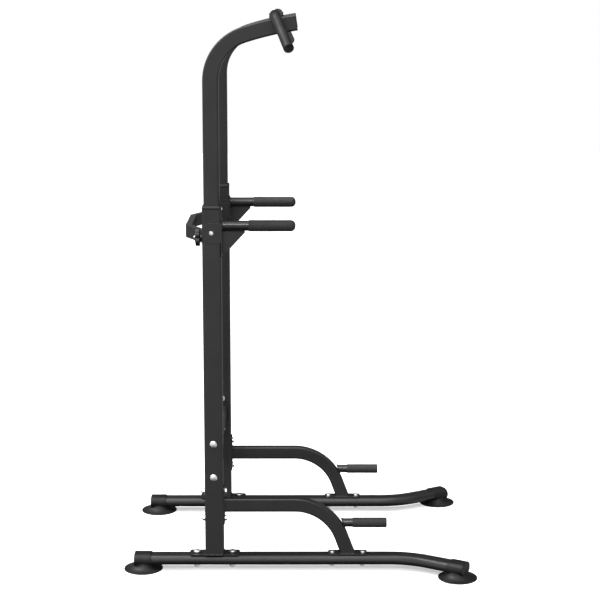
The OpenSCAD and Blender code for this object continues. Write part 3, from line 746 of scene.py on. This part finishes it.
def bar_plug(side):
    """Plug in the pull-up bar's end: rounded rim, shallow dish and a ribbed stem."""
    node = f"{side}_bar_plug"
    low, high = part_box(node)
    sign = SIDES[side]
    facing = Vector((math.sin(BAR_TURN) * math.sin(BAR_SWING), sign * math.cos(BAR_TURN),
                     -math.sin(BAR_TURN) * math.cos(BAR_SWING)))
    radius = BAR / 2
    reach = [radius * math.sqrt(1 - c * c) for c in facing]
    outer_y = high.y if sign > 0 else low.y
    face = Vector((high.x - reach[0], outer_y - sign * reach[1], low.z + reach[2]))
    stem = radius - PLUG_STEM_INSET
    profile = [(PLUG_TIP, -PLUG_STEM), (stem - 0.0012, -PLUG_STEM)]
    for i in range(RIBS):
        z = RIB_START - PLUG_STEM + RIB_SPACING * i
        profile += [(stem - depth, z + step) for depth, step in RIB]
    profile += [(stem, -0.0008), (stem, 0.0001), (radius - 0.0003, 0.0001), (radius, 0.0004)]
    profile += arc((radius - PLUG_SOFT, PLUG - PLUG_SOFT), PLUG_SOFT, 0, 90, 6)
    profile += [(radius - inset, PLUG - depth) for inset, depth in DISH]
    profile.append((PLUG_TIP, PLUG - DISH[-1][1]))
    bm = bmesh.new()
    lathe(bm, profile, pointing(facing, face - facing * PLUG))
    add_piece(f"{node}_fine", bm, BODY_OF[node], "black_plastic", [node])


# ---------------------------------------------------------------- clamp knobs

KNOB_HEAD = 0.016
KNOB_SOFT = 0.0028
# The lobes stop this far behind the hub's face.
KNOB_STEP = 0.002
# The hub's face and the sink for the insert: share of the knob's radius, and depth.
KNOB_FACE = ((0.62, KNOB_STEP), (0.60, 0.0012), (0.56, 0.0002), (0.52, 0.0), (0.36, 0.0),
             (0.33, 0.0006), (0.32, 0.004), (0.02, 0.004))
LOBES = 6
LOBE_FULLNESS = 0.7
WAIST = 0.80
KNOB_STEPS = 144
INSERT_BOSS = 0.76
INSERT_SOFT = 0.0012
# The hexagonal socket's size as a share of the insert's radius, and its depth.
SOCKET_SHARE = 0.82
SOCKET = 0.0030


def clamp_knob(side):
    """Lobed knob with soft edges, a hub and its threaded screw, along -X."""
    node = f"{side}_clamp_knob"
    low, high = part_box(node)
    centre = (low + high) / 2
    radius = max(high.y - low.y, high.z - low.z) / 2
    waist = radius * WAIST
    seat = (low.x + KNOB_HEAD, centre.y, centre.z)
    at = pointing((-1, 0, 0), seat) @ Matrix.Rotation(math.pi / 2, 4, "Z")

    def lobed(scale, z):
        def reach(angle):
            wave = 0.5 + 0.5 * math.cos(LOBES * angle)
            return scale * (waist + (radius - waist) * wave ** LOBE_FULLNESS)
        return ring(reach, z, KNOB_STEPS)

    def soft_edge(z, degrees):
        a = math.radians(degrees)
        return lobed(1 - KNOB_SOFT / radius * (1 - math.cos(a)), z + KNOB_SOFT * math.sin(a))

    top = KNOB_HEAD - KNOB_STEP - KNOB_SOFT
    rings = [soft_edge(KNOB_SOFT, -90 + 90 * i / 8) for i in range(9)]
    rings += [lobed(1, KNOB_SOFT + (top - KNOB_SOFT) * i / 6) for i in range(1, 7)]
    rings += [soft_edge(top, 90 * i / 8) for i in range(1, 9)]
    rings += [ring(radius * share, KNOB_HEAD - depth, KNOB_STEPS) for share, depth in KNOB_FACE]
    bm = bmesh.new()
    loft(bm, rings, at)
    add_thread(bm, M10, 0.0, -(high.x - low.x - KNOB_HEAD), at)
    add_piece(f"{node}_fine", bm, BODY_OF[node], "black_plastic", [node], 50)


def knob_insert(side):
    """Plated hub in the knob's face, with a chamfered rim and a socket."""
    node = f"{side}_knob_insert"
    low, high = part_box(node)
    centre = (low + high) / 2
    radius, height = (high.z - low.z) / 2, high.x - low.x
    boss = radius * INSERT_BOSS
    profile = [(radius - 0.0004, 0.0), (radius, 0.0004), (radius, height * 0.55),
               (radius - 0.0005, height * 0.62), (radius * 0.80, height * 0.66),
               (boss, height * 0.70)]
    profile += arc((boss - INSERT_SOFT, height - INSERT_SOFT), INSERT_SOFT, 0, 90, 6)
    bm = bmesh.new()
    at = pointing((-1, 0, 0), (high.x, centre.y, centre.z))
    rings = [ring(reach, z, 72) for reach, z in profile]
    rings += [hexagon(radius * SOCKET_SHARE, z, z - 1, z + 1) for z in (height, height - SOCKET)]
    loft(bm, rings, at)
    add_piece(f"{node}_fine", bm, BODY_OF[node], "zinc_plate", [node])


# ---------------------------------------------------------------- weld beads

BEAD = 0.0021
RIPPLE = 0.0032
ROWS_PER_RIPPLE = 4
RIPPLE_SWELL = 0.14
UNEVEN_SWELL = 0.05
BEAD_STEPS = 8


def even_points(path, closed):
    """Points along a path, several to each ripple."""
    lengths = [0.0]
    for a, b in zip(path, path[1:]):
        lengths.append(lengths[-1] + (b - a).length)
    total = lengths[-1]
    steps = max(8, round(total / (RIPPLE / ROWS_PER_RIPPLE)))
    points = []
    for i in range(steps if closed else steps + 1):
        s = total * i / steps
        k = max(j for j in range(len(path) - 1) if lengths[j] <= s + 1e-12)
        span = lengths[k + 1] - lengths[k]
        points.append(path[k].lerp(path[k + 1], (s - lengths[k]) / span))
    return points


def bead(bm, points, closed=True):
    """Rippled weld along a path of points."""
    centres = even_points(list(points) + ([points[0]] if closed else []), closed)
    last = len(centres) - 1
    rows = []
    for i, centre in enumerate(centres):
        ahead = centres[(i + 1) % len(centres)] if closed else centres[min(i + 1, last)]
        behind = centres[i - 1] if closed or i else centres[0]
        along = (ahead - behind).normalized()
        side = (along.orthogonal() if abs(along.z) > 0.9 else along.cross(Z)).normalized()
        up = along.cross(side)
        ripple = RIPPLE_SWELL * math.sin(2 * math.pi * i / ROWS_PER_RIPPLE)
        swell = BEAD * (1 + ripple + UNEVEN_SWELL * math.sin(i * 1.7))
        rows.append([centre + (side * math.cos(a) + up * math.sin(a)) * swell
                     for a in [2 * math.pi * n / BEAD_STEPS for n in range(BEAD_STEPS)]])
    loft(bm, rows, looped=closed)


def loop_rectangle(centre, across, along, half_a, half_b, corner):
    """Rounded rectangle around centre, in the plane of two unit vectors."""
    points = []
    for quarter, (sx, sy) in enumerate(((1, 1), (-1, 1), (-1, -1), (1, -1))):
        for i in range(5):
            a = math.radians(90 * quarter + 90 * i / 4)
            points.append(centre + across * (sx * (half_a - corner) + corner * math.cos(a))
                          + along * (sy * (half_b - corner) + corner * math.sin(a)))
    return points


def loop_circle(centre, across, along, radius, steps=40):
    """Circle around centre, in the plane of two vectors."""
    return [centre + across * radius * math.cos(2 * math.pi * i / steps)
            + along * radius * math.sin(2 * math.pi * i / steps) for i in range(steps)]


# ---------------------------------------------------------------- welds

UPRIGHT = 0.060
PLATE = 0.004
TUBE_CORNER = 0.006
ARCH_TUBE = (0.045, 0.030)
ARCH_LEAN = math.radians(20.7)
ARCH_FLANGE_HALF = 0.063
ARCH_FOOT_HALF = 0.064
CROSSMEMBER_TUBE = (0.030, 0.050)
CROSSMEMBER_CORNER = 0.004
CROSSBAR_SECTION = (0.0222, 0.040)
CROSSBAR_CORNER = 0.0005
CROSSBAR_PLATE = 0.003
CROSSBAR_SETBACK = 0.019
BRACKET = 0.003
DIP_TUBE_RADIUS = 0.016
PUSH_TUBE_RADIUS = 0.014
# The gusset's length, drop and thickness, and how far its welds stop short of its ends.
GUSSET = (0.072, 0.085, 0.004)
GUSSET_STOP = 0.004


def middle(node):
    low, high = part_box(node)
    return (low + high) / 2


def upright_welds(bm, side):
    low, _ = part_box(f"{side}_upright")
    centre = middle(f"{side}_upright")
    centre.z = low.z + PLATE
    bead(bm, loop_rectangle(centre, X, Y, UPRIGHT / 2, UPRIGHT / 2, TUBE_CORNER))
    boss_low, boss_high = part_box(f"{side}_clamp_boss")
    centre = middle(f"{side}_clamp_boss")
    centre.x = boss_high.x
    bead(bm, loop_circle(centre, Y, Z, (boss_high.z - boss_low.z) / 2))


def arch_welds(bm, side):
    low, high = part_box(f"{side}_arch_brace")
    y = middle(f"{side}_arch_brace").y
    depth, width = ARCH_TUBE
    flange = Vector((low.x + PLATE, y, high.z - ARCH_FLANGE_HALF))
    bead(bm, loop_rectangle(flange, Y, Z, width / 2, depth / 2, TUBE_CORNER))
    foot = Vector((high.x - ARCH_FOOT_HALF, y, low.z + PLATE))
    bead(bm, loop_rectangle(foot, X, Y, depth / 2 / math.cos(ARCH_LEAN), width / 2, TUBE_CORNER))
    bar_low, bar_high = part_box(f"{side}_push_up_bar")
    centre = middle(f"{side}_push_up_bar")
    centre.x = foot.x - (centre.z - foot.z) * math.tan(ARCH_LEAN) + depth / 2 / math.cos(ARCH_LEAN)
    slope = Z - X * math.tan(ARCH_LEAN)
    bead(bm, loop_circle(centre, Y, slope, (bar_high.z - bar_low.z) / 2))


def dip_welds(bm, side):
    face = middle(f"{side}_upright").x + UPRIGHT / 2 + BRACKET
    centre = middle(f"{side}_dip_grip")
    centre.x = face
    bead(bm, loop_circle(centre, Y, Z, DIP_TUBE_RADIUS))
    length, drop, thick = GUSSET
    for sign in (-1, 1):
        edge = Y * sign * thick / 2
        under = centre - Z * DIP_TUBE_RADIUS + edge
        bead(bm, [under + X * GUSSET_STOP, under + X * (length - GUSSET_STOP)], closed=False)
        bead(bm, [under - Z * GUSSET_STOP, centre - Z * drop + edge], closed=False)


def cross_welds(bm):
    """Welds between the two cross pieces and the plates at their ends."""
    centre = middle("lower_crossmember")
    _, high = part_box("lower_crossmember")
    depth, height = CROSSMEMBER_TUBE
    for sign in (-1, 1):
        at = Vector((centre.x, sign * (high.y - PLATE), centre.z))
        bead(bm, loop_rectangle(at, X, Z, depth / 2, height / 2, CROSSMEMBER_CORNER))
    low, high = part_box("rear_crossbar")
    depth, height = CROSSBAR_SECTION
    for sign in (-1, 1):
        at = Vector((centre.x - CROSSBAR_SETBACK, sign * (high.y - CROSSBAR_PLATE),
                     low.z + height / 2))
        bead(bm, loop_rectangle(at, X, Z, depth / 2, height / 2, CROSSBAR_CORNER))


def make_welds():
    for side in SIDES:
        bm = bmesh.new()
        upright_welds(bm, side)
        arch_welds(bm, side)
        dip_welds(bm, side)
        add_piece(f"{side}_welds", bm, "base_frame", "powder_coat", sharp=180)
    bm = bmesh.new()
    cross_welds(bm)
    add_piece("cross_welds", bm, "base_frame", "powder_coat", sharp=180)


# ---------------------------------------------------------------- the scene

make_camera()
make_world()
make_lights()
make_floor()
materials = make_materials()
paint_frame(materials)
make_fasteners()
for side in SIDES:
    foam_grip(side, "dip_grip", NOSE, DIP_TUBE_RADIUS + FOAM_PLAY)
    foam_grip(side, "push_up_grip", EDGE, PUSH_TUBE_RADIUS + FOAM_PLAY)
    clamp_knob(side)
    knob_insert(side)
    post_cap(side)
    bar_plug(side)
    rubber_foot(f"{side}_rear_foot")
    rubber_foot(f"{side}_front_foot")
make_welds()
